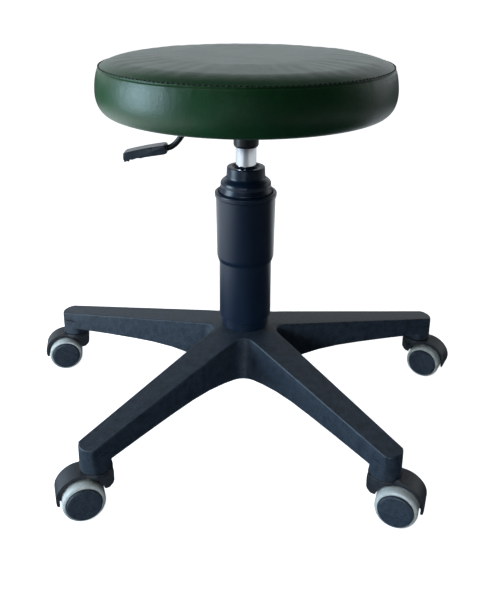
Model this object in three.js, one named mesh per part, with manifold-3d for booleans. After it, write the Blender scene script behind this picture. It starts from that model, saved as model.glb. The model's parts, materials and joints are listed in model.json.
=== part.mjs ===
// Height-adjustable round stool: a five-arm nylon base on twin-wheel castors, a gas lift in a
// telescopic cover, and an upholstered seat with a release lever. Millimetres, +Z up.
// The origin is on the floor, on the axis of the gas lift.
import * as THREE from 'three';
import { mergeVertices } from 'three/addons/utils/BufferGeometryUtils.js';
import Module from 'manifold-3d';

const wasm = await Module();
wasm.setup();

// ---------------------------------------------------------------- driving dimensions
const gap = 0.3; // between pieces that touch
const runningGap = 0.5; // between pieces that turn or slide on each other

const castorCount = 5;
const castorCircleRadius = 286; // lift axis to castor stem
const firstArmAngle = 18; // degrees from +X to the first arm
const trailAngles = [-28.7, 60, 193, 200, -19]; // which way each castor points, degrees

const wheelRadius = 25;
const wheelInnerFace = 4.2; // from the castor's middle plane
const wheelOuterFace = 24;
const tyreThickness = 4.2;
const tyreRounding = 3.6;
const axleRadius = 3;
const axleHalfLength = 17.5;
const axleBossRadius = 8;
const trail = 18.3; // stem axis to axle, along the floor
const hoodHalfWidth = 13.6;
const hoodWheelClearance = 1.7;
const hoodBackAngle = -10; // where the hood ends, seen from the axle
const hoodFrontAngle = 165;
const hoodWebHalfWidth = 3.3;
const stemPlateRadius = 18.5;
const stemPlateThickness = 5;
const stemRadius = 5.5;
const stemLength = 28; // above the hood
const stemSeatDepth = 10; // below the top of the hood
const stemFlangeRadius = 8.5;
const stemFlangeThickness = 0.8;
const swivelGap = 1.4; // hood to the arm's boss

const bossRadius = 18.5;
const bossHeight = 22;
const bossDraft = 2.2;
const armEndRadius = 19.2;
const armRootHalfWidth = 28.6; // at the lift axis, at the level of the boss's lower face
const armTipHalfWidth = 16.7; // at the castor stem
const armDraftDegrees = 4;
const armSlope = 0.1267; // fall of the top surface per millimetre outwards
const crotchFillet = 15; // between two arms
const hubHeight = 66.4; // above the bosses' lower face, as the next three heights are
const hubUndersideRise = 4.4;
const archCrownRise = 16.9;
const archTipRise = 9.9;
const hubTopRadius = 36;
const archRootRadius = 51; // where the underside starts to rise
const archCrownRadius = 140;
const shellWall = 3.4; // walls of the hollow arm
const roofThickness = 4;
const ribThickness = 2.6;
const crossRibCount = 3;
const hubRingWall = 4.5;
const hubOuterWall = 9;
const hubPocketDepth = 46;

const standTubeRadius = 25;
const standTubeWall = 1.8;
const standTubeDrop = 6.5; // foot of the tube below the hub's underside
const standTubeTop = 338;
const standTubeTaper = 1.1; // on the radius, over the hub's height
const endPlateThickness = 3;

const pressureTubeRadius = 14;
const pressureTubeWall = 2;
const pressureTubeFoot = 19; // above the foot of the stand tube
const pressureTubeCone = 1.2; // on the radius, over the length inside the socket
const tubeEndThickness = 13;
const pistonRodRadius = 5;
const liftTravel = 120;
const pistonLength = 14;
const pistonCollar = 3; // both out from the rod and along it
const washerThickness = 3;
const washerRadius = 12;
const clipRadius = 9;
const clipThickness = 2;
const releasePinRadius = 4;
const releaseTravel = 3.8;
const valveDepth = 20;

const bushLength = 48;
const bushCollarHeight = 9.5;
const bushCollarRadius = 20;
const bushFlangeThickness = 3;

const lowerSleeveRadius = 36.4;
const lowerSleeveNeckRadius = 33.4;
const lowerSleeveNeckHeight = 15.5;
const lowerSleeveTop = 300;
const sleeveWall = 2.2;
const upperSleeveBottom = 218.5;
const upperSleeveTop = 323.5;
const upperSleeveFootRadius = lowerSleeveRadius + 3.4;
const upperSleeveHeadRadius = lowerSleeveRadius + 4.5;
const upperSleeveRimRadius = lowerSleeveRadius + 5.9;
const upperSleeveRimHeight = 10;
const upperSleeveChamfer = 6;
const capTop = 357.7;
const capNeckRadius = 25.7;
const capStepRadius = 34.3;
const capSkirtDepth = 10; // into the rim of the upper sleeve
const capWall = 2.2;

const seatRadius = 194.5;
const seatUnderside = 439;
const seatRimDrop = 3; // the cushion's lower edge hangs this far below the board
const seatEdgeRounding = 14;
const sideBulgeHeight = 470; // where the side of the cushion is widest
const seamHeight = 492.5;
const seamRadius = seatRadius - 3.5;
const seatShoulderRadius = seatRadius - 22.5;
const seatShoulderHeight = 503;
const seatCrown = 506;
const seatFlatRadius = 60;
const boardRadius = seatRadius - 26.5;
const boardThickness = 12;
const dustCoverRadius = boardRadius - 4;
const dustCoverThickness = 1;

const socketBottom = 385;
const socketRadius = pressureTubeRadius + 2.9;
const plateHalfSize = 78;
const plateCorner = 16;
const plateThickness = 3;
const plateScrewPitch = 120;
const screwShankRadius = 3;
const screwHeadRadius = 6.5;
const screwHeadHeight = 4;
const screwBite = 9; // into the board
const bracketLength = 76;
const bracketHalfWidth = 27;
const bracketHeight = 20;
const bracketWall = 2.5;

const leverPivotReach = 24; // lift axis to the lever's pivot
const leverPivotDrop = 10; // below the top of the bracket
const socketDrop = 6; // lever pivot to the top of the socket
const leverPinRadius = 3;
const tongueHalfWidth = 5;
const tongueHeight = 7;
const tongueNoseRadius = 4;
const leverRodRadius = 4;
const leverRodReach = 21; // straight part behind the tongue
const leverRodFall = { x: 47, z: 42.5 }; // from that straight to the grip
const leverRodSteps = 22;
const gripLength = 58;
const gripWidth = 21;
const gripRootThickness = 12;
const gripTipThickness = 10.5;
const gripDroopDegrees = 10.5;
const gripBoreDepth = 21;

const wheelSides = 18; // facets round each kind of turned piece
const pinSides = 10;
const rodSides = 12;
const tubeSides = 24;
const sleeveSides = 28;
const seatSides = 40;

// ---------------------------------------------------------------- materials
const finishes = {
  nylon: { color: 0x1d2023, roughness: 0.62, metalness: 0 },
  smoothBlack: { color: 0x16191e, roughness: 0.38, metalness: 0 },
  blackSteel: { color: 0x141517, roughness: 0.45, metalness: 0.3 },
  steel: { color: 0x9a9da1, roughness: 0.35, metalness: 1 },
  chrome: { color: 0xd9dcde, roughness: 0.08, metalness: 1 },
  tyre: { color: 0xb9bdbb, roughness: 0.55, metalness: 0 },
  hubDisc: { color: 0x262b33, roughness: 0.42, metalness: 0 },
  vinyl: { color: 0x0b2a17, roughness: 0.36, metalness: 0 },
  plywood: { color: 0xa98a5f, roughness: 0.7, metalness: 0 },
  felt: { color: 0x17181a, roughness: 0.95, metalness: 0 },
};

function piece(name, geometry, finish) {
  const mesh = new THREE.Mesh(geometry, new THREE.MeshStandardMaterial(finishes[finish]));
  mesh.name = name;
  return mesh;
}

// ---------------------------------------------------------------- geometry helpers
const toRadians = THREE.MathUtils.degToRad;

// Shared vertices merged and zero-area triangles dropped.
function weld(geometry) {
  const bare = geometry.clone();
  bare.deleteAttribute('normal');
  bare.deleteAttribute('uv');
  const merged = mergeVertices(bare, 1e-4);
  const kept = [];
  const index = merged.index.array;
  for (let i = 0; i < index.length; i += 3) {
    const [a, b, c] = [index[i], index[i + 1], index[i + 2]];
    if (a !== b && b !== c && c !== a) kept.push(a, b, c);
  }
  merged.setIndex(kept);
  return merged;
}

function toSolid(geometry) {
  const welded = weld(geometry);
  return new wasm.Manifold(new wasm.Mesh({
    numProp: 3,
    vertProperties: new Float32Array(welded.attributes.position.array),
    triVerts: new Uint32Array(welded.index.array),
  }));
}

function toGeometry(solid) {
  const mesh = solid.getMesh();
  const geometry = new THREE.BufferGeometry();
  geometry.setAttribute('position', new THREE.BufferAttribute(mesh.vertProperties, 3));
  geometry.setIndex(new THREE.BufferAttribute(mesh.triVerts, 1));
  return geometry;
}

function unite(geometries) {
  return geometries.map(toSolid).reduce((sum, solid) => sum.add(solid));
}

function cut(geometry, ...tools) {
  return toGeometry(toSolid(geometry).subtract(unite(tools)));
}

// A closed outline of corners [x, y, fillet radius], each fillet an arc of steps chords.
function filleted(corners, steps = 4) {
  const points = [];
  corners.forEach(([x, y, radius = 0], i) => {
    const corner = new THREE.Vector2(x, y);
    const [beforeX, beforeY] = corners.at(i - 1);
    const [afterX, afterY] = corners[(i + 1) % corners.length];
    const before = new THREE.Vector2(beforeX, beforeY).sub(corner);
    const after = new THREE.Vector2(afterX, afterY).sub(corner);
    if (radius === 0) {
      points.push(corner);
      return;
    }
    const shortest = Math.min(before.length(), after.length());
    before.normalize();
    after.normalize();
    const halfAngle = Math.acos(THREE.MathUtils.clamp(before.dot(after), -1, 1)) / 2;
    const reach = Math.min(radius / Math.tan(halfAngle), shortest * 0.49);
    const fillet = reach * Math.tan(halfAngle);
    const toCentre = before.clone().add(after).normalize();
    const centre = toCentre.multiplyScalar(fillet / Math.sin(halfAngle)).add(corner);
    const start = before.clone().multiplyScalar(reach).add(corner).sub(centre);
    const end = after.clone().multiplyScalar(reach).add(corner).sub(centre);
    let sweep = end.angle() - start.angle();
    if (sweep > Math.PI) sweep -= 2 * Math.PI;
    if (sweep < -Math.PI) sweep += 2 * Math.PI;
    for (let step = 0; step <= steps; step += 1) {
      points.push(start.clone().rotateAround(new THREE.Vector2(), (sweep * step) / steps).add(centre));
    }
  });
  return points;
}

// Turned about Z. The outline of [radius, height, fillet] corners runs anticlockwise.
function revolve(corners, segments, steps = 1) {
  const profile = filleted(corners, steps);
  const onAxis = profile[0].x === 0 && profile.at(-1).x === 0;
  if (!onAxis) profile.push(profile[0].clone());
  return weld(new THREE.LatheGeometry(profile, segments).rotateX(Math.PI / 2));
}

// A flat outline in X and Z given thickness across Y, centred on Y = 0.
function plateAcrossY(shape, thickness, options = {}) {
  const geometry = new THREE.ExtrudeGeometry(shape, { depth: thickness, bevelEnabled: false, ...options });
  return weld(geometry.translate(0, 0, -thickness / 2).rotateX(Math.PI / 2));
}

function column(radius, bottom, top, segments, radiusAtTop = radius) {
  const geometry = new THREE.CylinderGeometry(radiusAtTop, radius, top - bottom, segments);
  return weld(geometry.rotateX(Math.PI / 2).translate(0, 0, (bottom + top) / 2));
}

function ring(innerRadius, outerRadius, bottom, thickness, segments) {
  const top = bottom + thickness;
  const profile = [[innerRadius, bottom], [outerRadius, bottom], [outerRadius, top], [innerRadius, top]];
  return revolve(profile, segments);
}

function pinAcrossY(radius, halfLength, segments) {
  return weld(new THREE.CylinderGeometry(radius, radius, 2 * halfLength, segments));
}

function block(width, depth, height, x = 0, y = 0, z = 0) {
  return weld(new THREE.BoxGeometry(width, depth, height).translate(x, y, z));
}

// Two outlines with the same number of points, joined by straight walls.
function loft(lower, lowerHeight, upper, upperHeight) {
  const count = lower.length;
  const positions = [];
  lower.forEach((point) => positions.push(point.x, point.y, lowerHeight));
  upper.forEach((point) => positions.push(point.x, point.y, upperHeight));
  const index = [];
  for (let i = 0; i < count; i += 1) {
    const next = (i + 1) % count;
    index.push(i, next, count + next, i, count + next, count + i);
  }
  THREE.ShapeUtils.triangulateShape(lower, []).forEach(([a, b, c]) => index.push(a, c, b));
  THREE.ShapeUtils.triangulateShape(upper, []).forEach(([a, b, c]) => {
    index.push(count + a, count + b, count + c);
  });
  const geometry = new THREE.BufferGeometry();
  geometry.setAttribute('position', new THREE.Float32BufferAttribute(positions, 3));
  geometry.setIndex(index);
  return geometry;
}

// ---------------------------------------------------------------- five-arm base
const hoodTop = wheelRadius * 2 + hoodWheelClearance + stemPlateThickness;
const bossBottom = hoodTop + swivelGap;
const hubTopHeight = bossBottom + hubHeight;
const hubUnderside = bossBottom + hubUndersideRise;
const archCrownHeight = bossBottom + archCrownRise;
const archTipHeight = bossBottom + archTipRise;
const armPitch = (2 * Math.PI) / castorCount;
const armNarrowing = (armRootHalfWidth - armTipHalfWidth) / castorCircleRadius;
const armDraft = Math.tan(toRadians(armDraftDegrees));
const armTopAt = (radius) => hubTopHeight - armSlope * (radius - hubTopRadius);

// Plan of all the arms at one height above the bosses' lower face.
function starOutline(height, inset = 0, endRadius = armEndRadius) {
  const rootHalfWidth = armRootHalfWidth - height * armDraft - inset;
  const tipHalfWidth = rootHalfWidth - armNarrowing * castorCircleRadius;
  const crotchX = rootHalfWidth / (Math.tan(armPitch / 2) + armNarrowing);
  const crotch = [crotchX, -crotchX * Math.tan(armPitch / 2)];
  const endAngle = Math.asin(Math.min(0.95, tipHalfWidth / endRadius));
  const endSteps = 6;
  const arm = [[...crotch, crotchFillet]];
  for (let step = 0; step <= endSteps; step += 1) {
    const angle = endAngle * ((2 * step) / endSteps - 1);
    arm.push([castorCircleRadius + endRadius * Math.cos(angle), endRadius * Math.sin(angle)]);
  }
  const corners = [];
  for (let i = 0; i < castorCount; i += 1) {
    const turn = toRadians(firstArmAngle) + i * armPitch;
    arm.forEach(([x, y, fillet]) => {
      const place = new THREE.Vector2(x, y).rotateAround(new THREE.Vector2(), turn);
      corners.push([place.x, place.y, fillet]);
    });
  }
  return filleted(corners, 4);
}

// Everything above the sloping tops of the arms, as a pyramid with one face on each arm.
function spaceAboveArms(drop = 0) {
  const outer = castorCircleRadius * 2;
  const facets = castorCount * 2;
  const toFlat = Math.cos(Math.PI / facets);
  const profile = [
    [0, hubTopHeight - drop],
    [(hubTopRadius - drop) / toFlat, hubTopHeight - drop],
    [outer / toFlat, armTopAt(outer) - drop],
    [outer / toFlat, hubTopHeight * 2],
    [0, hubTopHeight * 2],
  ];
  return revolve(profile, facets).rotateZ(Math.PI / 2 + toRadians(firstArmAngle) + Math.PI / facets);
}

// Everything below the hub and the arched undersides of the arms.
function spaceBelowArms() {
  const under = new THREE.Path();
  under.moveTo(archRootRadius, hubUnderside);
  const middle = (archRootRadius + archCrownRadius) / 2;
  under.quadraticCurveTo(middle, archCrownHeight, archCrownRadius, archCrownHeight);
  under.quadraticCurveTo(archCrownRadius * 1.3, archCrownHeight, castorCircleRadius, archTipHeight);
  const arch = under.getPoints(3).map((point) => [point.x, point.y]).reverse();
  return revolve([[0, 0], [castorCircleRadius, 0], ...arch, [0, hubUnderside]], castorCount * 8);
}

// The hollows moulded into the underside of one arm, between its ribs.
function armPockets() {
  const start = archRootRadius + 6;
  const end = castorCircleRadius - bossRadius - shellWall;
  const halfWidthAt = (x, height) => armRootHalfWidth - armNarrowing * x - height * armDraft - shellWall;
  const section = (height) => [
    new THREE.Vector2(start, -halfWidthAt(start, height)),
    new THREE.Vector2(end, -halfWidthAt(end, height)),
    new THREE.Vector2(end, halfWidthAt(end, height)),
    new THREE.Vector2(start, halfWidthAt(start, height)),
  ];
  const hollow = toSolid(loft(section(0), bossBottom, section(hubHeight), hubTopHeight));
  const length = end - start;
  const ribs = [block(length, ribThickness, hubHeight * 2, (start + end) / 2, 0, hubTopHeight)];
  for (let i = 1; i <= crossRibCount; i += 1) {
    const x = start + (length * i) / (crossRibCount + 1);
    ribs.push(block(ribThickness, armRootHalfWidth * 2, hubHeight * 2, x, 0, hubTopHeight));
  }
  ribs.forEach((rib) => rib.translate(0, 0, -hubHeight));
  return hollow.subtract(unite(ribs));
}

// A ring of hollows round the socket of the gas lift.
function hubPockets() {
  const inner = standTubeRadius + gap + hubRingWall;
  const top = hubUnderside + hubPocketDepth;
  const outer = archRootRadius - hubOuterWall;
  const hollow = toSolid(ring(inner, outer, 0, top, tubeSides));
  const ribs = [];
  for (let i = 0; i < castorCount * 2; i += 1) {
    const rib = block(archRootRadius, ribThickness, hubTopHeight * 2, archRootRadius / 2);
    ribs.push(rib.rotateZ(toRadians(firstArmAngle) + (i * armPitch) / 2));
  }
  return hollow.subtract(unite(ribs));
}

function starBase() {
  const roofed = toSolid(loft(starOutline(0), bossBottom, starOutline(hubHeight), hubTopHeight))
    .subtract(toSolid(spaceAboveArms()))
    .subtract(toSolid(spaceBelowArms()));
  const belowRoof = toSolid(spaceAboveArms(roofThickness));
  const armHollow = armPockets().subtract(
    toSolid(spaceAboveArms(roofThickness).rotateZ(-toRadians(firstArmAngle))),
  );
  let base = roofed;
  for (let i = 0; i < castorCount; i += 1) {
    const turn = firstArmAngle + (i * 360) / castorCount;
    base = base.subtract(armHollow.rotate([0, 0, turn]));
  }
  base = base.subtract(hubPockets().subtract(belowRoof));
  for (let i = 0; i < castorCount; i += 1) {
    const turn = toRadians(firstArmAngle) + i * armPitch;
    const x = castorCircleRadius * Math.cos(turn);
    const y = castorCircleRadius * Math.sin(turn);
    const boss = column(bossRadius, bossBottom, bossBottom + bossHeight, wheelSides, bossRadius - bossDraft);
    const socket = column(stemRadius + gap, 0, bossBottom + stemLength + 1, pinSides);
    base = base.add(toSolid(boss.translate(x, y, 0))).subtract(toSolid(socket.translate(x, y, 0)));
  }
  const boreRadius = standTubeRadius + gap;
  const boreTop = hubTopHeight + gap;
  const bore = column(boreRadius - standTubeTaper, standTubeBottom, boreTop, tubeSides, boreRadius);
  return toGeometry(base.subtract(toSolid(bore)));
}

// ---------------------------------------------------------------- heights under the seat
const boardBottom = seatUnderside;
const boardTop = boardBottom + boardThickness;
const dustCoverBottom = boardBottom - gap - dustCoverThickness;
const plateTop = dustCoverBottom - gap;
const plateBottom = plateTop - plateThickness;
const bracketTop = plateBottom - gap;
const bracketBottom = bracketTop - bracketHeight;
const leverPivot = { x: -leverPivotReach, z: bracketTop - leverPivotDrop };
const socketTop = leverPivot.z - socketDrop;
const pressureTubeTop = socketTop - 1;

// ---------------------------------------------------------------- gas lift
const standTubeBottom = hubUnderside - standTubeDrop;
const pressureTubeBottom = standTubeBottom + pressureTubeFoot;

function standTube() {
  const foot = standTubeRadius - standTubeTaper;
  const profile = [
    [pistonRodRadius + runningGap, standTubeBottom],
    [foot, standTubeBottom, 1],
    [standTubeRadius, hubTopHeight],
    [standTubeRadius, standTubeTop],
    [standTubeRadius - standTubeWall, standTubeTop],
    [standTubeRadius - standTubeWall, hubTopHeight],
    [foot - standTubeWall, standTubeBottom + endPlateThickness],
    [pistonRodRadius + runningGap, standTubeBottom + endPlateThickness],
  ];
  return revolve(profile, tubeSides);
}

function guideBush() {
  const inner = pressureTubeRadius + runningGap;
  const outer = standTubeRadius - standTubeWall - gap;
  const shoulder = standTubeTop + gap;
  const profile = [
    [inner, standTubeTop - bushLength],
    [outer, standTubeTop - bushLength, 1],
    [outer, shoulder],
    [standTubeRadius, shoulder],
    [standTubeRadius, shoulder + bushFlangeThickness],
    [bushCollarRadius, shoulder + bushFlangeThickness],
    [bushCollarRadius, shoulder + bushFlangeThickness + bushCollarHeight],
    [inner, shoulder + bushFlangeThickness + bushCollarHeight],
  ];
  return revolve(profile, tubeSides);
}

function pressureTube() {
  const boreRadius = pressureTubeRadius - pressureTubeWall;
  const headBottom = pressureTubeTop - valveDepth - 6;
  const holeRadius = releasePinRadius + gap;
  return revolve([
    [pistonRodRadius + runningGap, pressureTubeBottom],
    [pressureTubeRadius, pressureTubeBottom, 1.5],
    [pressureTubeRadius, socketBottom],
    [pressureTubeRadius - pressureTubeCone, pressureTubeTop, 1],
    [holeRadius, pressureTubeTop],
    [holeRadius, pressureTubeTop - valveDepth],
    [0, pressureTubeTop - valveDepth],
    [0, headBottom],
    [boreRadius, headBottom],
    [boreRadius, pressureTubeBottom + tubeEndThickness],
    [pistonRodRadius + runningGap, pressureTubeBottom + tubeEndThickness],
  ], tubeSides);
}

const washerBottom = standTubeBottom + endPlateThickness + gap;
const pistonBottom = pressureTubeBottom + tubeEndThickness + liftTravel + 4;

function pistonRod() {
  const shoulder = washerBottom + washerThickness + gap;
  return revolve([
    [0, standTubeBottom - clipThickness - 3],
    [pistonRodRadius, standTubeBottom - clipThickness - 3, 1],
    [pistonRodRadius, shoulder],
    [pistonRodRadius + pistonCollar, shoulder],
    [pistonRodRadius + pistonCollar, shoulder + pistonCollar],
    [pistonRodRadius, shoulder + pistonCollar],
    [pistonRodRadius, pistonBottom],
    [pressureTubeRadius - pressureTubeWall - runningGap, pistonBottom],
    [pressureTubeRadius - pressureTubeWall - runningGap, pistonBottom + pistonLength],
    [0, pistonBottom + pistonLength],
  ], rodSides);
}

function releasePin(top) {
  return revolve([
    [0, top - releasePinLength], [releasePinRadius, top - releasePinLength],
    [releasePinRadius, top, 1], [0, top],
  ], pinSides);
}

// ---------------------------------------------------------------- telescopic cover
function lowerSleeve() {
  const foot = hubTopHeight + gap;
  const step = foot + lowerSleeveNeckHeight;
  return revolve([
    [lowerSleeveNeckRadius - sleeveWall, foot],
    [lowerSleeveNeckRadius, foot],
    [lowerSleeveNeckRadius, step - 1],
    [lowerSleeveRadius, step, 1],
    [lowerSleeveRadius, lowerSleeveTop, 1],
    [lowerSleeveRadius - sleeveWall, lowerSleeveTop],
    [lowerSleeveRadius - sleeveWall, step + sleeveWall],
    [lowerSleeveNeckRadius - sleeveWall, step],
  ], sleeveSides);
}

const upperSleeveBore = lowerSleeveRadius + runningGap;
const capSkirtRadius = upperSleeveBore;
const capLedge = upperSleeveTop - capSkirtDepth;

function upperSleeve() {
  const rimBottom = upperSleeveTop - upperSleeveRimHeight;
  return revolve([
    [upperSleeveBore, upperSleeveBottom],
    [upperSleeveBore + 0.4, upperSleeveBottom],
    [upperSleeveFootRadius, upperSleeveBottom + upperSleeveChamfer, 2],
    [upperSleeveHeadRadius, rimBottom - 2, 2],
    [upperSleeveRimRadius, rimBottom + 1, 2],
    [upperSleeveRimRadius, upperSleeveTop, 2.5],
    [capSkirtRadius + gap, upperSleeveTop, 1],
    [capSkirtRadius + gap, capLedge - gap],
    [upperSleeveBore - 3, capLedge - gap],
    [upperSleeveBore - 3, capLedge - gap - 4],
    [upperSleeveBore, capLedge - gap - 7],
  ], sleeveSides);
}

function sleeveCap() {
  const seat = standTubeTop + bushFlangeThickness + 2 * gap;
  const neckBase = seat + capWall;
  const stepTop = neckBase - 7;
  const stepBottom = stepTop - 7;
  const hole = pressureTubeRadius + 1.5;
  return revolve([
    [capSkirtRadius - capWall, capLedge],
    [capSkirtRadius, capLedge],
    [capSkirtRadius, stepBottom - 4, 3],
    [capStepRadius, stepBottom, 2],
    [capStepRadius, stepTop, 7],
    [capNeckRadius + 0.6, neckBase + 1.5, 3],
    [capNeckRadius, capTop, 1.6],
    [hole + 3.5, capTop],
    [hole, capTop - 2],
    [hole, capTop - capWall - 1],
    [capNeckRadius - capWall, capTop - capWall - 1],
    [capNeckRadius - capWall, seat],
    [standTubeRadius + gap, seat],
    [capStepRadius - capWall, stepTop - 1],
    [capStepRadius - capWall, stepBottom - 2],
    [capSkirtRadius - capWall, stepBottom - 6],
  ], sleeveSides);
}

// ---------------------------------------------------------------- seat
function seatCushion() {
  const rimBottom = seatUnderside - seatRimDrop;
  return revolve([
    [0, boardTop + gap],
    [boardRadius + gap, boardTop + gap],
    [boardRadius + gap, seatUnderside],
    [boardRadius + 6, rimBottom, 4],
    [seatRadius - 1.5, rimBottom, seatEdgeRounding],
    [seatRadius, sideBulgeHeight, 60],
    [seamRadius, seamHeight, 3],
    [seatShoulderRadius + 6, seatShoulderHeight - 0.6, 12],
    [seatShoulderRadius * 0.7, seatCrown - 0.6, 200],
    [seatFlatRadius, seatCrown],
    [0, seatCrown],
  ], seatSides, 2);
}

function screwHoles(top) {
  return screwPlaces().map(([x, y]) => column(screwShankRadius + gap, 0, top, pinSides).translate(x, y, 0));
}

function seatBoard() {
  const board = column(boardRadius, boardBottom, boardTop, seatSides);
  return cut(board, ...screwHoles(boardBottom + screwBite + 1));
}

function dustCover() {
  const cover = column(dustCoverRadius, dustCoverBottom, dustCoverBottom + dustCoverThickness, seatSides);
  return cut(cover, ...screwHoles(seatCrown));
}

function screwPlaces() {
  const half = plateScrewPitch / 2;
  return [[half, half], [-half, half], [-half, -half], [half, -half]];
}

// ---------------------------------------------------------------- seat plate and lift socket
function roundedSquare(half, corner) {
  const signs = [[1, -1], [1, 1], [-1, 1], [-1, -1]];
  return filleted(signs.map(([x, y]) => [x * half, y * half, corner]), 5);
}

function seatPlate() {
  const plate = new THREE.ExtrudeGeometry(new THREE.Shape(roundedSquare(plateHalfSize, plateCorner)), {
    depth: plateThickness, bevelEnabled: false,
  });
  plate.translate(0, 0, plateBottom);
  const middleHole = column(socketRadius, 0, seatCrown, tubeSides);
  return cut(plate, ...screwHoles(seatCrown), middleHole);
}

function leverPinHole() {
  const hole = pinAcrossY(leverPinRadius + gap, bracketHalfWidth * 2, pinSides);
  return hole.translate(leverPivot.x, 0, leverPivot.z);
}

// A channel under the plate, open at its two ends, with flanges that meet the plate.
function liftBracket() {
  const half = bracketHalfWidth;
  const flange = 10;
  const outline = new THREE.Shape(filleted([
    [-half, bracketBottom, 4], [half, bracketBottom, 4], [half, bracketTop - bracketWall, 2],
    [half + flange, bracketTop - bracketWall], [half + flange, bracketTop],
    [half - bracketWall, bracketTop, 1], [half - bracketWall, bracketBottom + bracketWall, 2],
    [-half + bracketWall, bracketBottom + bracketWall, 2], [-half + bracketWall, bracketTop, 1],
    [-half - flange, bracketTop], [-half - flange, bracketTop - bracketWall],
    [-half, bracketTop - bracketWall, 2],
  ], 3));
  const channel = new THREE.ExtrudeGeometry(outline, { depth: bracketLength, bevelEnabled: false });
  channel.translate(0, 0, -bracketLength / 2).rotateX(Math.PI / 2).rotateZ(Math.PI / 2);
  const socketHole = column(socketRadius + gap, 0, seatCrown, tubeSides);
  return cut(channel, socketHole, leverPinHole());
}

function liftSocket() {
  const lowBore = pressureTubeRadius + gap;
  const fall = pressureTubeCone * ((socketTop - socketBottom) / (pressureTubeTop - socketBottom));
  return revolve([
    [lowBore, socketBottom],
    [socketRadius - 1.8, socketBottom],
    [socketRadius, socketBottom + 3],
    [socketRadius, socketTop, 1],
    [lowBore - fall, socketTop],
  ], tubeSides);
}

function plateScrew(x, y) {
  const headTop = plateBottom - gap;
  return revolve([
    [0, headTop - screwHeadHeight],
    [screwHeadRadius, headTop - screwHeadHeight, 2],
    [screwHeadRadius, headTop],
    [screwShankRadius, headTop],
    [screwShankRadius, boardBottom + screwBite],
    [0, boardBottom + screwBite],
  ], pinSides).translate(x, y, 0);
}

// ---------------------------------------------------------------- release lever
const releasePinTop = leverPivot.z - 1.7;
const releasePinLength = valveDepth + releasePinTop - pressureTubeTop - releaseTravel - 2;

const tongueRoot = leverPivot.x - 13;
const gripDroop = toRadians(gripDroopDegrees);
const gripRoot = new THREE.Vector3(
  tongueRoot - gap - leverRodReach - leverRodFall.x, 0, leverPivot.z - leverRodFall.z,
);

// A flat tongue on the pivot pin, with a round nose above the release pin.
function leverTongue() {
  const outline = new THREE.Shape();
  const top = leverPivot.z + tongueHeight / 2 + 1;
  const nose = releasePinTop + gap + tongueNoseRadius;
  outline.moveTo(tongueRoot, leverPivot.z - 4.5);
  outline.lineTo(leverPivot.x + 6, leverPivot.z - 4.5);
  outline.lineTo(leverPivot.x + 12, nose - 2);
  outline.lineTo(-tongueNoseRadius, nose);
  outline.absarc(0, nose, tongueNoseRadius, Math.PI, 2 * Math.PI, false);
  outline.lineTo(tongueNoseRadius, top);
  outline.lineTo(tongueRoot, top);
  outline.closePath();
  const tongue = plateAcrossY(outline, 2 * tongueHalfWidth, { curveSegments: 5 });
  return cut(tongue, leverPinHole());
}

function leverPin() {
  const half = bracketHalfWidth + 2;
  const shank = pinAcrossY(leverPinRadius, half, pinSides);
  const head = (y) => pinAcrossY(leverPinRadius + 2, 1, pinSides).translate(0, y, 0);
  const heads = [head(half + 1), head(-half - 1)];
  return toGeometry(unite([shank, ...heads])).translate(leverPivot.x, 0, leverPivot.z);
}

function leverRod() {
  const start = new THREE.Vector3(tongueRoot - gap, 0, leverPivot.z);
  const knee = start.clone().add(new THREE.Vector3(-leverRodReach, 0, 0));
  const gripDirection = new THREE.Vector3(-Math.cos(gripDroop), 0, -Math.sin(gripDroop));
  const end = gripRoot.clone().addScaledVector(gripDirection, gripBoreDepth - gap);
  const pull = leverRodFall.x * 0.45;
  const kneePull = knee.clone().add(new THREE.Vector3(-pull, 0, 0));
  const rootPull = gripRoot.clone().addScaledVector(gripDirection, -pull);
  const bend = new THREE.CubicBezierCurve3(knee, kneePull, rootPull, gripRoot);
  const route = new THREE.CurvePath();
  route.add(new THREE.LineCurve3(start, knee));
  route.add(bend);
  route.add(new THREE.LineCurve3(gripRoot, end));
  const section = new THREE.Shape(
    new THREE.Path().absarc(0, 0, leverRodRadius, 0, 2 * Math.PI, false).getPoints(4).slice(1),
  );
  return weld(new THREE.ExtrudeGeometry(section, { extrudePath: route, steps: leverRodSteps }));
}

// A flat paddle with finger scallops under its end, bored for the rod.
function leverGrip() {
  const outline = new THREE.Shape();
  const root = gripRootThickness / 2;
  const tip = gripTipThickness / 2;
  outline.moveTo(0, root);
  outline.quadraticCurveTo(-gripLength / 2, root + 1.5, -gripLength, tip);
  outline.lineTo(-gripLength - 2, -tip - 1);
  outline.lineTo(-gripLength + 1, -tip - 2);
  outline.quadraticCurveTo(-gripLength + 6, -tip + 1.6, -gripLength + 11, -tip - 1.2);
  outline.quadraticCurveTo(-gripLength + 16, -tip + 2.2, -gripLength + 22, -tip + 0.2);
  outline.lineTo(-4, -root);
  outline.lineTo(0, -root + 1.5);
  outline.closePath();
  const bevel = 1.5;
  const body = plateAcrossY(outline, gripWidth - 2 * bevel, {
    curveSegments: 5,
    bevelEnabled: true,
    bevelThickness: bevel,
    bevelSize: bevel / 2,
    bevelOffset: -bevel / 2,
    bevelSegments: 1,
  });
  const bore = pinAcrossY(leverRodRadius + gap, gripBoreDepth, pinSides).rotateZ(Math.PI / 2);
  return cut(body, bore).rotateY(-gripDroop).translate(...gripRoot);
}

// ---------------------------------------------------------------- castors
// Each castor is built with its stem on Z and its wheels trailing towards +X.
const hoodInner = wheelRadius + hoodWheelClearance;

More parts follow.
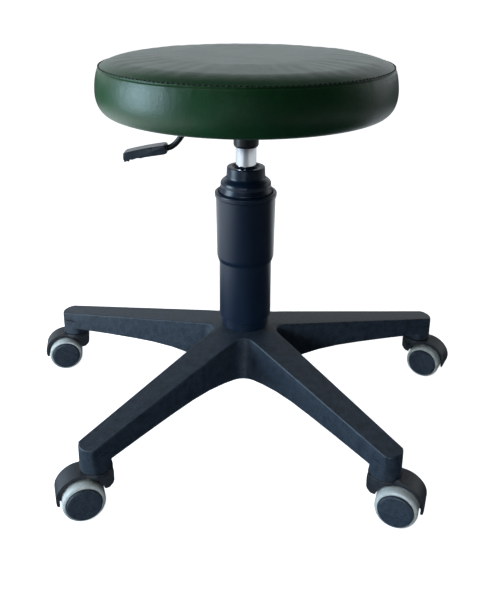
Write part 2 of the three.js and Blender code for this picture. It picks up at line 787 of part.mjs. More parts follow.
function hood() {
  const outer = hoodInner + stemPlateThickness;
  const wall = new THREE.Shape();
  const back = toRadians(hoodBackAngle);
  const front = toRadians(hoodFrontAngle);
  const face = -trail - stemPlateRadius;
  wall.absarc(0, 0, outer, back, Math.PI / 2, false);
  wall.lineTo(face + 2, outer);
  wall.lineTo(face, outer - 2);
  wall.lineTo(face, outer - 15);
  wall.quadraticCurveTo(face + 1, outer - 22, hoodInner * Math.cos(front) - 1, hoodInner * Math.sin(front));
  wall.absarc(0, 0, hoodInner, front, back, true);
  wall.closePath();
  const web = new THREE.Shape();
  web.absarc(0, 0, hoodInner + 1, back, front, false);
  web.lineTo(-axleBossRadius, -2);
  web.absarc(0, 0, axleBossRadius, Math.PI, 1.75 * Math.PI, false);
  web.closePath();
  const onWheelAxis = (geometry) => geometry.translate(trail, 0, wheelRadius);
  const shell = onWheelAxis(plateAcrossY(wall, 2 * hoodHalfWidth, { curveSegments: 6 }));
  const middle = onWheelAxis(plateAcrossY(web, 2 * hoodWebHalfWidth, { curveSegments: 6 }));
  const plate = column(stemPlateRadius, hoodTop - stemPlateThickness, hoodTop, wheelSides);
  const stemSeat = column(stemRadius + gap, hoodTop - stemSeatDepth, hoodTop * 2, pinSides);
  const axleHole = onWheelAxis(pinAcrossY(axleRadius + gap, hoodHalfWidth, pinSides));
  return toGeometry(unite([shell, middle, plate]).subtract(unite([stemSeat, axleHole])));
}

function castorStem() {
  return revolve([
    [0, hoodTop - stemSeatDepth + gap],
    [stemRadius, hoodTop - stemSeatDepth + gap],
    [stemRadius, hoodTop + gap],
    [stemFlangeRadius, hoodTop + gap],
    [stemFlangeRadius, hoodTop + gap + stemFlangeThickness],
    [stemRadius, hoodTop + gap + stemFlangeThickness],
    [stemRadius, bossBottom + stemLength, 1.5],
    [0, bossBottom + stemLength],
  ], pinSides);
}

function axle() {
  return pinAcrossY(axleRadius, axleHalfLength, pinSides).translate(trail, 0, wheelRadius);
}

// side is 1 for the wheel on +Y and -1 for the one on -Y.
function onAxle(geometry, side) {
  return geometry.rotateX((-side * Math.PI) / 2).translate(trail, 0, wheelRadius);
}

function wheelHub(side) {
  const rim = wheelRadius - tyreThickness - gap;
  const bore = axleRadius + gap;
  const profile = [
    [0, axleHalfLength + gap],
    [bore, axleHalfLength + gap],
    [bore, wheelInnerFace],
    [rim, wheelInnerFace],
    [rim, wheelOuterFace - 1],
    [rim - 1, wheelOuterFace],
    [0, wheelOuterFace],
  ];
  return onAxle(revolve(profile, wheelSides), side);
}

function tyre(side) {
  const inner = wheelRadius - tyreThickness;
  const profile = [
    [inner, wheelInnerFace],
    [wheelRadius - tyreRounding / 3, wheelInnerFace],
    [wheelRadius, wheelInnerFace + tyreRounding / 3],
    [wheelRadius, wheelOuterFace - tyreRounding],
    [wheelRadius - tyreRounding * 0.3, wheelOuterFace - tyreRounding * 0.3],
    [inner, wheelOuterFace - 0.4],
  ];
  return onAxle(revolve(profile, wheelSides), side);
}

function castor(number, armAngle, trailAngle) {
  const group = new THREE.Group();
  const turn = toRadians(armAngle);
  group.position.set(castorCircleRadius * Math.cos(turn), castorCircleRadius * Math.sin(turn), 0);
  group.rotation.z = toRadians(trailAngle);
  group.add(
    piece(`castor_${number}_hood`, hoodGeometry, 'nylon'),
    piece(`castor_${number}_stem`, stemGeometry, 'steel'),
    piece(`castor_${number}_axle`, axleGeometry, 'steel'),
  );
  for (const [label, side] of [['a', 1], ['b', -1]]) {
    group.add(
      piece(`castor_${number}_wheel_${label}`, wheelHub(side), 'hubDisc'),
      piece(`castor_${number}_tyre_${label}`, tyre(side), 'tyre'),
    );
  }
  return group;
}

// ---------------------------------------------------------------- assembly
const hoodGeometry = hood();
const stemGeometry = castorStem();
const axleGeometry = axle();

function baseAssembly() {
  const group = new THREE.Group();
  group.add(piece('star_base', starBase(), 'nylon'));
  trailAngles.forEach((trailAngle, i) => {
    group.add(castor(i + 1, firstArmAngle + (i * 360) / castorCount, trailAngle));
  });
  return group;
}

function liftAssembly() {
  const group = new THREE.Group();
  const rodClearance = pistonRodRadius + gap;
  const clipBottom = standTubeBottom - gap - clipThickness;
  const washer = ring(rodClearance, washerRadius, washerBottom, washerThickness, rodSides);
  const clip = ring(rodClearance, clipRadius, clipBottom, clipThickness, rodSides);
  group.add(
    piece('stand_tube', standTube(), 'blackSteel'),
    piece('guide_bush', guideBush(), 'smoothBlack'),
    piece('thrust_washer', washer, 'steel'),
    piece('piston_rod', pistonRod(), 'steel'),
    piece('retaining_clip', clip, 'steel'),
    piece('pressure_tube', pressureTube(), 'chrome'),
    piece('release_pin', releasePin(releasePinTop), 'steel'),
    piece('lower_sleeve', lowerSleeve(), 'smoothBlack'),
    piece('upper_sleeve', upperSleeve(), 'smoothBlack'),
    piece('sleeve_cap', sleeveCap(), 'smoothBlack'),
  );
  return group;
}

function seatAssembly() {
  const group = new THREE.Group();
  group.add(
    piece('lift_socket', liftSocket(), 'blackSteel'),
    piece('lift_bracket', liftBracket(), 'blackSteel'),
    piece('seat_plate', seatPlate(), 'blackSteel'),
    piece('lever_pin', leverPin(), 'steel'),
    piece('lever_tongue', leverTongue(), 'blackSteel'),
    piece('lever_rod', leverRod(), 'blackSteel'),
    piece('lever_grip', leverGrip(), 'smoothBlack'),
    piece('dust_cover', dustCover(), 'felt'),
    piece('seat_board', seatBoard(), 'plywood'),
    piece('seat_cushion', seatCushion(), 'vinyl'),
  );
  screwPlaces().forEach(([x, y], i) => group.add(piece(`plate_screw_${i + 1}`, plateScrew(x, y), 'steel')));
  return group;
}

const stool = new THREE.Group();
stool.name = 'stool';
stool.add(baseAssembly(), liftAssembly(), seatAssembly());

export default stool;
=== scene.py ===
import json
import math

import bmesh
import bpy
from mathutils import Matrix, Vector, noise


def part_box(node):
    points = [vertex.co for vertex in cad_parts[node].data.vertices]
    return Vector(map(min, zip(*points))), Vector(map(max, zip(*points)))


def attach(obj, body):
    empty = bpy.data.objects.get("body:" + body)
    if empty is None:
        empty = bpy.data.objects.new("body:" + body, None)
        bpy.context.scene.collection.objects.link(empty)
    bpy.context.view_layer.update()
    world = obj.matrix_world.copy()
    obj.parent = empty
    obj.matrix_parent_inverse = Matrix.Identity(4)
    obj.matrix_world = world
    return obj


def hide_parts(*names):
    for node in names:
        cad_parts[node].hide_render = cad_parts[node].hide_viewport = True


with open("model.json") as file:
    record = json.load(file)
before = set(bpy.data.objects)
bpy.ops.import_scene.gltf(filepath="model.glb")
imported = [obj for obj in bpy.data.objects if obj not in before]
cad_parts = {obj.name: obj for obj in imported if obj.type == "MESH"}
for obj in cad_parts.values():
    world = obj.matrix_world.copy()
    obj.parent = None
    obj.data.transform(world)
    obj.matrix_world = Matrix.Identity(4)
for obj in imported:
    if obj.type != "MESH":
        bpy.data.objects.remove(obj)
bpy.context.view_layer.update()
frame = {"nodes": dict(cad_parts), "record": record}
joints = {joint["name"]: joint for joint in frame["record"]["behaviour"]["joints"]}
mm = 0.001
print("frame loaded")

# finishes

finish = {
    "baseNylon": dict(dark=(0.003, 0.008, 0.017), light=(0.040, 0.056, 0.080), rough=(0.40, 0.56),
                      grain=0.8, depth=0.50, mottle=9.0, sheen=0.0),
    "castorNylon": dict(dark=(0.012, 0.014, 0.019), light=(0.038, 0.042, 0.050), rough=(0.44, 0.58),
                        grain=0.8, depth=0.14, mottle=7.0, sheen=0.0),
    "coverPlastic": dict(dark=(0.002, 0.009, 0.025), light=(0.004, 0.014, 0.034), rough=(0.30, 0.37),
                         grain=0.5, depth=0.03, mottle=22.0, sheen=0.0),
    "discPlastic": dict(dark=(0.016, 0.024, 0.038), light=(0.060, 0.078, 0.104), rough=(0.40, 0.54),
                        grain=0.9, depth=0.16, mottle=5.0, sheen=0.0),
    "gripPlastic": dict(dark=(0.020, 0.028, 0.040), light=(0.052, 0.068, 0.088), rough=(0.24, 0.34),
                        grain=0.8, depth=0.12, mottle=10.0, sheen=0.0),
    "treadGrey": dict(dark=(0.50, 0.52, 0.50), light=(0.66, 0.68, 0.66), rough=(0.48, 0.62),
                      grain=1.4, depth=0.06, mottle=6.0, sheen=0.0),
    # near-black finish below: painted shade for the ring that fills the gap between each castor disc and its tyre
    "paintedGrooveShade": dict(dark=(0.004, 0.004, 0.005), light=(0.009, 0.009, 0.010), rough=(0.55, 0.70),
                        grain=0.8, depth=0.05, mottle=6.0, sheen=0.0),
    "powderCoat": dict(dark=(0.003, 0.004, 0.005), light=(0.006, 0.008, 0.009), rough=(0.26, 0.38),
                       grain=1.2, depth=0.10, mottle=12.0, sheen=0.0),
    "dustCloth": dict(dark=(0.012, 0.012, 0.013), light=(0.030, 0.030, 0.032), rough=(0.88, 0.98),
                      grain=0.7, depth=0.30, mottle=4.0, sheen=0.3),
}


def startMaterial(name):
    material = bpy.data.materials.new(name)
    material.use_nodes = True
    tree = material.node_tree
    return material, tree, tree.nodes["Principled BSDF"]


def addNode(tree, kind, inputs=None, **settings):
    node = tree.nodes.new(kind)
    for key, value in settings.items():
        setattr(node, key, value)
    for key, value in (inputs or {}).items():
        if isinstance(value, bpy.types.NodeSocket):
            tree.links.new(value, node.inputs[key])
        else:
            node.inputs[key].default_value = value
    return node


def placeSocket(tree):
    return addNode(tree, "ShaderNodeTexCoord").outputs["Object"]


def noiseNode(tree, size, detail=3.0, roughness=0.55):
    # size is the width of one patch, in millimetres
    return addNode(tree, "ShaderNodeTexNoise",
                   {"Vector": placeSocket(tree), "Scale": 1000.0 / size, "Detail": detail, "Roughness": roughness})


def rampNode(tree, factor, dark, light, low=0.3, high=0.7):
    ramp = addNode(tree, "ShaderNodeValToRGB", {"Fac": factor})
    ramp.color_ramp.elements[0].position = low
    ramp.color_ramp.elements[0].color = (*dark, 1)
    ramp.color_ramp.elements[1].position = high
    ramp.color_ramp.elements[1].color = (*light, 1)
    return ramp


def mouldedPlastic(name, looks):
    material, tree, shader = startMaterial(name)
    grain = noiseNode(tree, looks["grain"] * 2.2, 4.0, 0.62)
    mottle = noiseNode(tree, looks["mottle"], 3.0)
    both = addNode(tree, "ShaderNodeMix", {"Factor": 0.42, "A": grain.outputs["Fac"], "B": mottle.outputs["Fac"]},
                   data_type="FLOAT")
    colour = rampNode(tree, both.outputs[0], looks["dark"], looks["light"], 0.36, 0.66)
    rough = addNode(tree, "ShaderNodeMapRange",
                    {"Value": mottle.outputs["Fac"], "To Min": looks["rough"][0], "To Max": looks["rough"][1]})
    bump = addNode(tree, "ShaderNodeBump", {"Height": grain.outputs["Fac"], "Strength": looks["depth"],
                                            "Distance": 0.4 * mm})
    tree.links.new(colour.outputs["Color"], shader.inputs["Base Color"])
    tree.links.new(rough.outputs["Result"], shader.inputs["Roughness"])
    tree.links.new(bump.outputs["Normal"], shader.inputs["Normal"])
    shader.inputs["Sheen Weight"].default_value = looks["sheen"]
    return material


def plainMetal(name, colour, rough, streak):
    # drawn or plated metal, with fine streaks along Z
    material, tree, shader = startMaterial(name)
    stretched = addNode(tree, "ShaderNodeMapping", {"Vector": placeSocket(tree), "Scale": (1.0, 1.0, 0.05)})
    lines = addNode(tree, "ShaderNodeTexNoise",
                    {"Vector": stretched.outputs["Vector"], "Scale": 1000.0 / 0.9, "Detail": 3.0})
    roughness = addNode(tree, "ShaderNodeMapRange",
                        {"Value": lines.outputs["Fac"], "To Min": rough[0], "To Max": rough[1]})
    shade = rampNode(tree, lines.outputs["Fac"], [c * (1 - streak) for c in colour], colour)
    tree.links.new(shade.outputs["Color"], shader.inputs["Base Color"])
    tree.links.new(roughness.outputs["Result"], shader.inputs["Roughness"])
    shader.inputs["Metallic"].default_value = 1.0
    return material


# each relief of the vinyl has its width in millimetres, a strength and a height in millimetres
vinyl = dict(
    deep=(0.0005, 0.042, 0.0060), lit=(0.0010, 0.068, 0.0115), tone=60.0, rough=(0.31, 0.41), specular=0.55,
    sheen=0.05, pore=dict(width=1.5, edge=0.22, strength=0.40, height=0.14),
    crease=dict(width=5.5, strength=0.42, height=0.5), wrinkle=dict(width=26.0, strength=0.16, height=1.6))


def reliefNode(tree, height, looks, below=None):
    inputs = {"Height": height, "Strength": looks["strength"], "Distance": looks["height"] * mm}
    if below is not None:
        inputs["Normal"] = below.outputs["Normal"]
    return addNode(tree, "ShaderNodeBump", inputs)


def greenVinyl():
    material, tree, shader = startMaterial("bottleGreenVinyl")
    pore, crease, wrinkle = vinyl["pore"], vinyl["crease"], vinyl["wrinkle"]
    pores = addNode(tree, "ShaderNodeTexVoronoi", {"Vector": placeSocket(tree), "Scale": 1000.0 / pore["width"]},
                    feature="DISTANCE_TO_EDGE")
    poreHeight = addNode(tree, "ShaderNodeMapRange",
                         {"Value": pores.outputs["Distance"], "From Max": pore["edge"]})
    wrinkles = noiseNode(tree, wrinkle["width"], 5.0, 0.6)
    creases = noiseNode(tree, crease["width"], 4.0, 0.65)
    tone = noiseNode(tree, vinyl["tone"], 3.0)
    colour = rampNode(tree, tone.outputs["Fac"], vinyl["deep"], vinyl["lit"], 0.25, 0.75)
    rough = addNode(tree, "ShaderNodeMapRange", {"Value": wrinkles.outputs["Fac"], "To Min": vinyl["rough"][0],
                                                 "To Max": vinyl["rough"][1]})
    fine = reliefNode(tree, poreHeight.outputs["Result"], pore)
    middling = reliefNode(tree, creases.outputs["Fac"], crease, fine)
    broad = reliefNode(tree, wrinkles.outputs["Fac"], wrinkle, middling)
    tree.links.new(colour.outputs["Color"], shader.inputs["Base Color"])
    tree.links.new(rough.outputs["Result"], shader.inputs["Roughness"])
    tree.links.new(broad.outputs["Normal"], shader.inputs["Normal"])
    shader.inputs["Specular IOR Level"].default_value = vinyl["specular"]
    shader.inputs["Sheen Weight"].default_value = vinyl["sheen"]
    return material


plywood = dict(dark=(0.33, 0.21, 0.11), light=(0.58, 0.43, 0.27), rough=0.72, stretch=0.06, figure=220.0)


def birchPly():
    material, tree, shader = startMaterial("birchPlywood")
    stretched = addNode(tree, "ShaderNodeMapping",
                        {"Vector": placeSocket(tree), "Scale": (plywood["stretch"], 1.0, 1.0)})
    figure = addNode(tree, "ShaderNodeTexNoise",
                     {"Vector": stretched.outputs["Vector"], "Scale": plywood["figure"], "Detail": 5.0})
    colour = rampNode(tree, figure.outputs["Fac"], plywood["dark"], plywood["light"])
    tree.links.new(colour.outputs["Color"], shader.inputs["Base Color"])
    shader.inputs["Roughness"].default_value = plywood["rough"]
    return material


materials = {name: mouldedPlastic(name, looks) for name, looks in finish.items()}
materials["chrome"] = plainMetal("polishedChrome", (0.86, 0.87, 0.89), (0.05, 0.11), 0.04)
materials["zinc"] = plainMetal("zincPlate", (0.56, 0.57, 0.58), (0.24, 0.38), 0.15)
materials["vinyl"] = greenVinyl()
materials["plywood"] = birchPly()
# near-black thread: the thread's own dark green, darkened further with painted shade of the stitch holes
materials["thread"] = mouldedPlastic("greenThreadAndHoleShade", dict(
    dark=(0.001, 0.004, 0.002), light=(0.003, 0.010, 0.005), rough=(0.6, 0.8), grain=0.3, depth=0.3, mottle=2.0,
    sheen=0.2))
print("finishes made")

# making meshes


def filleted(corners, steps=8):
    # corners are (across, along, fillet radius)
    points = []
    count = len(corners)
    for i, corner in enumerate(corners):
        here = Vector(corner[:2])
        radius = corner[2] if len(corner) > 2 else 0
        if not radius:
            points.append(here)
            continue
        back = Vector(corners[i - 1][:2]) - here
        ahead = Vector(corners[(i + 1) % count][:2]) - here
        shortest = min(back.length, ahead.length)
        back.normalize()
        ahead.normalize()
        half = max(1e-4, back.angle(ahead) / 2)
        reach = min(radius / math.tan(half), shortest * 0.49)
        centre = here + (back + ahead).normalized() * (reach / math.cos(half))
        first, last = here + back * reach - centre, here + ahead * reach - centre
        sweep = math.atan2(first.x * last.y - first.y * last.x, first.dot(last))
        for step in range(steps + 1):
            turn = sweep * step / steps
            points.append(centre + Vector((first.x * math.cos(turn) - first.y * math.sin(turn),
                                           first.x * math.sin(turn) + first.y * math.cos(turn))))
    return points


def finishMesh(name, bm, material, sharp=32, place=None):
    bmesh.ops.remove_doubles(bm, verts=bm.verts, dist=1e-6)
    bmesh.ops.recalc_face_normals(bm, faces=bm.faces)
    mesh = bpy.data.meshes.new(name)
    if place is not None:
        bm.transform(place)
    bm.to_mesh(mesh)
    bm.free()
    for face in mesh.polygons:
        face.use_smooth = True
    mesh.set_sharp_from_angle(angle=math.radians(sharp))
    piece = bpy.data.objects.new(name, mesh)
    bpy.context.scene.collection.objects.link(piece)
    piece.data.materials.append(material)
    return piece


def turnedShell(bm, corners, sides, steps=8):
    # corners in millimetres, from axis to axis or round a ring
    outline = [point * mm for point in filleted(corners, steps)]
    onAxis = corners[0][0] == 0
    rows = []
    for point in outline:
        if point.x < 1e-7:
            rows.append([bm.verts.new((0, 0, point.y))] * sides)
            continue
        rows.append([bm.verts.new((point.x * math.cos(2 * math.pi * i / sides),
                                   point.x * math.sin(2 * math.pi * i / sides), point.y)) for i in range(sides)])
    pairs = list(zip(rows, rows[1:]))
    if not onAxis:
        pairs.append((rows[-1], rows[0]))
    for low, high in pairs:
        for i in range(sides):
            j = (i + 1) % sides
            loop = list(dict.fromkeys((low[i], low[j], high[j], high[i])))
            if len(loop) > 2:
                bm.faces.new(loop)


def turned(name, corners, material, sides, place=None, steps=8):
    bm = bmesh.new()
    turnedShell(bm, corners, sides, steps)
    return finishMesh(name, bm, materials[material], place=place)


def slabShell(bm, outline, halfWidth, edge, steps=3):
    # an outline in X and Z given width across Y, with rounded rims
    faces = []
    rims = []
    for side in (-1, 1):
        rim = [bm.verts.new((point.x, side * halfWidth, point.y)) for point in outline]
        rims.append(rim)
        faces.append(bm.faces.new(rim if side < 0 else rim[::-1]))
    count = len(outline)
    for i in range(count):
        j = (i + 1) % count
        bm.faces.new((rims[0][j], rims[0][i], rims[1][i], rims[1][j]))
    if edge:
        edges = [e for face in faces for e in face.edges]
        bmesh.ops.bevel(bm, geom=edges, offset=edge, offset_type="OFFSET", segments=steps, profile=0.5,
                        affect="EDGES", clamp_overlap=False)


def onCircle(centreX, centreZ, radius, degrees):
    return Vector((centreX + radius * math.cos(math.radians(degrees)),
                   centreZ + radius * math.sin(math.radians(degrees))))


def arcPoints(centreX, centreZ, radius, start, end, steps):
    return [onCircle(centreX, centreZ, radius, start + (end - start) * i / steps) for i in range(steps + 1)]


def curvePoints(start, pull, end, steps):
    points = []
    for i in range(1, steps + 1):
        t = i / steps
        points.append(Vector(start) * (1 - t) ** 2 + Vector(pull) * 2 * t * (1 - t) + Vector(end) * t * t)
    return points


def topOf(node):
    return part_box(node)[1].z / mm


def bottomOf(node):
    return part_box(node)[0].z / mm


def radiusOf(node):
    low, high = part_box(node)
    return (high.x - low.x) / 2 / mm


def dress(material, *nodes):
    # CAD pieces that show as they are, with a finish of their own
    for node in nodes:
        frame["nodes"][node].data.materials[0] = materials[material]


# five-arm base

star = dict(edge=1.7, hubRadius=40.0, lowest=80.0, flatFace=0.9, sideFace=0.35, dissolve=0.6)


def topEdges(bm):
    # rims between the arms' tops and their sides
    picked = []
    for edge in bm.edges:
        if len(edge.link_faces) != 2:
            continue
        upper, lower = sorted((face.normal.z for face in edge.link_faces), reverse=True)
        outside = min(vert.co.xy.length for vert in edge.verts) > star["hubRadius"] * mm
        high = min(vert.co.z for vert in edge.verts) > star["lowest"] * mm
        if upper > star["flatFace"] and abs(lower) < star["sideFace"] and outside and high:
            picked.append(edge)
    return picked


def starBase():
    bm = bmesh.new()
    bm.from_mesh(frame["nodes"]["star_base"].data)
    bmesh.ops.remove_doubles(bm, verts=bm.verts, dist=2e-6)
    bmesh.ops.dissolve_limit(bm, angle_limit=math.radians(star["dissolve"]), verts=bm.verts, edges=bm.edges)
    bm.normal_update()
    bmesh.ops.bevel(bm, geom=topEdges(bm), offset=star["edge"] * mm, offset_type="OFFSET", segments=4,
                    profile=0.5, affect="EDGES", clamp_overlap=False)
    piece = finishMesh("baseStar", bm, materials["baseNylon"], 34)
    weighted = piece.modifiers.new("evenShading", "WEIGHTED_NORMAL")
    weighted.keep_sharp = True
    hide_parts("star_base")
    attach(piece, "base")


starBase()
print("base made")

# castors

castor = dict(
    count=5, sides=96, trail=18.3, wheel=25.0, hoodInner=26.7, hoodWall=5.0, hoodHalf=13.6, back=-10, front=165,
    plateRadius=19.0, plateDepth=5.6, face=-36.8, rim=1.2, webHalf=3.3, boss=8.0, tipTaper=2.2,
    # outlines are (from the axle, outward, fillet)
    disc=[(3.3, 4.2), (20.4, 4.2), (20.4, 21.9), (20.2, 21.9), (20.1, 25.9, 1.1), (17.5, 26.4, 3), (8, 26.2, 6),
          (0, 26.1), (0, 17.8), (3.3, 17.8)],
    tyre=[(20.8, 4.2), (24.2, 4.2, 1.0), (25, 5.6, 2), (25, 19.6, 4.5), (24.1, 22.4, 2.4), (21.6, 23.6, 0.7),
          (21.0, 23.2, 0.3), (20.8, 22.4)],
    # the next outline is a ring in the gap between disc and tyre that carries painted shade
    grooveShadeRing=[(20.25, 21.6), (20.78, 21.6), (20.78, 23.0, 0.2), (20.25, 23.0, 0.2)])


def hoodOutline():
    wheel, inner = castor["wheel"], castor["hoodInner"]
    outer = inner + castor["hoodWall"]
    trail = castor["trail"]
    face = castor["face"] + trail
    arc = []
    for i in range(31):
        angle = castor["back"] + (90 - castor["back"]) * i / 30
        taper = castor["tipTaper"] * max(0.0, 1 - i / 12) ** 2
        arc.append(onCircle(trail, wheel, outer - taper, angle))
    lip = Vector((trail + inner * math.cos(math.radians(castor["front"])) - 1,
                  wheel + inner * math.sin(math.radians(castor["front"]))))
    nose = [Vector((face + 2.6, wheel + outer)), Vector((face + 0.9, wheel + outer - 0.7)),
            Vector((face, wheel + outer - 2.4)), Vector((face, wheel + outer - 15))]
    nose += curvePoints(nose[-1], (face + 1, wheel + outer - 22), lip, 6)
    inside = arcPoints(trail, wheel, inner, castor["front"], castor["back"], 44)
    return [point * mm for point in arc + nose + inside]


def webOutline():
    trail, wheel = castor["trail"], castor["wheel"]
    rim = arcPoints(trail, wheel, castor["hoodInner"] + 1, castor["back"], castor["front"], 44)
    boss = [Vector((trail - castor["boss"], wheel - 2))]
    boss += arcPoints(trail, wheel, castor["boss"], 180, 315, 20)
    return [point * mm for point in rim + boss]


def castorPieces(number):
    swivel, roll = joints[f"castor_{number}_swivel"], joints[f"castor_{number}_roll_a"]
    stem, axle = Vector(swivel["pos_m"]), Vector(roll["pos_m"])
    way = math.atan2(axle.y - stem.y, axle.x - stem.x)
    place = Matrix.Translation(stem) @ Matrix.Rotation(way, 4, "Z")
    top = castor["wheel"] + castor["hoodInner"] + castor["hoodWall"]
    plate, plateFoot = castor["plateRadius"], top - castor["plateDepth"]

    bm = bmesh.new()
    slabShell(bm, hoodOutline(), castor["hoodHalf"] * mm, castor["rim"] * mm)
    slabShell(bm, webOutline(), castor["webHalf"] * mm, 0)
    turnedShell(bm, [(0, plateFoot), (plate, plateFoot, 1), (plate, top, 0.9), (0, top)], castor["sides"], 4)
    hood = finishMesh(f"castorHood{number}", bm, materials["castorNylon"], place=place)
    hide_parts(f"castor_{number}_hood")
    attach(hood, f"castor_{number}")

    for letter, side in (("a", 1), ("b", -1)):
        onAxle = (place @ Matrix.Translation((castor["trail"] * mm, 0, castor["wheel"] * mm))
                  @ Matrix.Rotation(-side * math.pi / 2, 4, "X"))
        ending, roller = f"{number}{letter}", f"castor_{number}_roller_{letter}"
        disc = turned("castorDisc" + ending, castor["disc"], "discPlastic", castor["sides"], onAxle, 5)
        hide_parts(f"castor_{number}_wheel_{letter}")
        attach(disc, roller)
        tyre = turned("castorTyre" + ending, castor["tyre"], "treadGrey", castor["sides"], onAxle, 6)
        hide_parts(f"castor_{number}_tyre_{letter}")
        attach(tyre, roller)
        # a near-black ring in the gap between disc and tyre, painted shade of that gap
        grooveShadeRing = turned("castorGrooveShade" + ending, castor["grooveShadeRing"], "paintedGrooveShade", castor["sides"], onAxle, 3)
        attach(grooveShadeRing, roller)
    dress("zinc", f"castor_{number}_stem", f"castor_{number}_axle")


for number in range(1, castor["count"] + 1):
    castorPieces(number)
print("castors made")

# telescopic cover and gas lift

cover = dict(sides=160, bore=31.2, wall=2.2, neck=33.4, neckRise=15.5, rimRise=7.0, chamfer=6.5, footRise=5.5,
             play=0.5)
lift = dict(tube=14.0, sides=128, collar=16.9, collarSides=96)


def coverPieces():
    foot, lip = bottomOf("lower_sleeve"), topOf("lower_sleeve")
    radius = radiusOf("lower_sleeve")
    step = foot + cover["neckRise"]
    lower = turned("coverLower", [
        (cover["bore"], foot), (cover["neck"] - 0.4, foot, 0.4), (cover["neck"], foot + 1.2, 0.6),
        (cover["neck"], step - 1.6, 0.8), (radius - 0.6, step - 0.9, 0.8), (radius, step + 0.4, 1.2),
        (radius, lip, 1.0), (radius - cover["wall"], lip), (radius - cover["wall"], step + 2),
        (cover["bore"], step)], "coverPlastic", cover["sides"])
    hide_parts("lower_sleeve")
    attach(lower, "base")

    low, high = bottomOf("upper_sleeve") + cover["footRise"], topOf("upper_sleeve")
    bore = radius + cover["play"]
    rim = radiusOf("upper_sleeve")
    rimFoot = high - cover["rimRise"]
    upper = turned("coverUpper", [
        (bore, low), (bore + 0.9, low, 0.3), (39.6, low + cover["chamfer"], 3.2), (40.8, rimFoot - 1.2, 0.3),
        (rim - 0.1, rimFoot, 0.7), (rim, high - 1.2, 2.0), (rim - 2.4, high, 1.6), (bore + 0.6, high - 0.4, 1.2),
        (bore + 0.3, high - 10.3), (bore - 3, high - 10.3), (bore - 3, high - 14.3), (bore, high - 17.3)],
        "coverPlastic", cover["sides"])
    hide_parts("upper_sleeve")
    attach(upper, "cover")

    capFoot, capTop = bottomOf("sleeve_cap"), topOf("sleeve_cap")
    cap = turned("coverCap", [
        (bore - 2.2, capFoot), (bore - 0.1, capFoot), (bore - 0.1, capTop - 32.6, 4), (34.4, capTop - 27.2, 3.2),
        (34.4, capTop - 20.4, 7.5), (26.4, capTop - 14.6, 5.5), (25.7, capTop, 1.5), (19.4, capTop, 0.8),
        (18.6, capTop - 1.6, 0.8), (16.2, capTop - 2.0, 0.8), (15.5, capTop - 3.2), (23.5, capTop - 3.2),
        (23.5, capTop - 16.2), (25.3, capTop - 16.2), (32.1, capTop - 23.6), (32.1, capTop - 28.6),
        (bore - 2.2, capTop - 32.6)], "coverPlastic", cover["sides"])
    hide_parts("sleeve_cap")
    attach(cap, "cover")


def liftPieces():
    low, high = bottomOf("pressure_tube"), topOf("pressure_tube")
    collar = bottomOf("lift_socket")
    tube = turned("liftTube", [
        (0, low), (lift["tube"], low, 1.2), (lift["tube"], collar), (12.9, high, 0.8), (4.3, high),
        (4.3, high - 20), (0, high - 20)], "chrome", lift["sides"])
    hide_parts("pressure_tube")
    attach(tube, "seat")
    top = topOf("lift_socket")
    socket = turned("liftCollar", [
        (14.3, collar + 0.4), (14.6, collar, 0.3), (15.6, collar, 0.8), (lift["collar"], collar + 2.6, 1.2),
        (lift["collar"], top, 0.8), (13.2, top)], "powderCoat", lift["collarSides"])
    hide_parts("lift_socket")
    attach(socket, "seat")


coverPieces()
liftPieces()
dress("powderCoat", "stand_tube", "lift_bracket", "seat_plate", "lever_tongue")
dress("coverPlastic", "guide_bush")
dress("zinc", "thrust_washer", "piston_rod", "retaining_clip", "release_pin", "lever_pin",
      *[f"plate_screw_{i}" for i in range(1, 5)])
dress("dustCloth", "dust_cover")
dress("plywood", "seat_board")
print("cover and lift made")

# release lever

lever = dict(tongueRoot=13.3, reach=21.0, fallX=47.0, fallZ=42.5, rod=4.0, droop=10.5, grip=58.0, width=21.0,
             root=12.0, tip=10.5, edge=2.0, pull=0.45, buried=20, sides=32)


def leverRod():
    pivot = Vector(joints["lever_pull"]["pos_m"]) / mm
    start = Vector((pivot.x - lever["tongueRoot"], 0, pivot.z))
    knee = start + Vector((-lever["reach"], 0, 0))
    root = knee + Vector((-lever["fallX"], 0, -lever["fallZ"]))
    droop = math.radians(lever["droop"])
    into = Vector((-math.cos(droop), 0, -math.sin(droop)))
    pull = lever["fallX"] * lever["pull"]
    controls = [knee, knee + Vector((-pull, 0, 0)), root - into * pull, root]
    path = [start + (knee - start) * i / 6 for i in range(6)]
    for i in range(33):
        t = i / 32
        weights = ((1 - t) ** 3, 3 * t * (1 - t) ** 2, 3 * t * t * (1 - t), t ** 3)
        path.append(sum((w * c for w, c in zip(weights, controls)), Vector()))
    path += [root + into * lever["buried"] * i / 4 for i in range(1, 5)]
    bm = bmesh.new()
    rings = []
    sides = lever["sides"]
    turns = [2 * math.pi * k / sides for k in range(sides)]
    for i, point in enumerate(path):
        ahead = path[min(i + 1, len(path) - 1)] - path[max(i - 1, 0)]
        up = Vector((-ahead.z, 0, ahead.x)).normalized()
        rings.append([bm.verts.new((point + (up * math.cos(turn) + Vector((0, math.sin(turn), 0))) * lever["rod"])
                                   * mm) for turn in turns])
    for low, high in zip(rings, rings[1:]):
        for k in range(sides):
            bm.faces.new((low[k], low[(k + 1) % sides], high[(k + 1) % sides], high[k]))
    bm.faces.new(rings[0])
    bm.faces.new(rings[-1])
    rod = finishMesh("leverRod", bm, materials["powderCoat"])
    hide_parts("lever_rod")
    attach(rod, "lever")
    return root


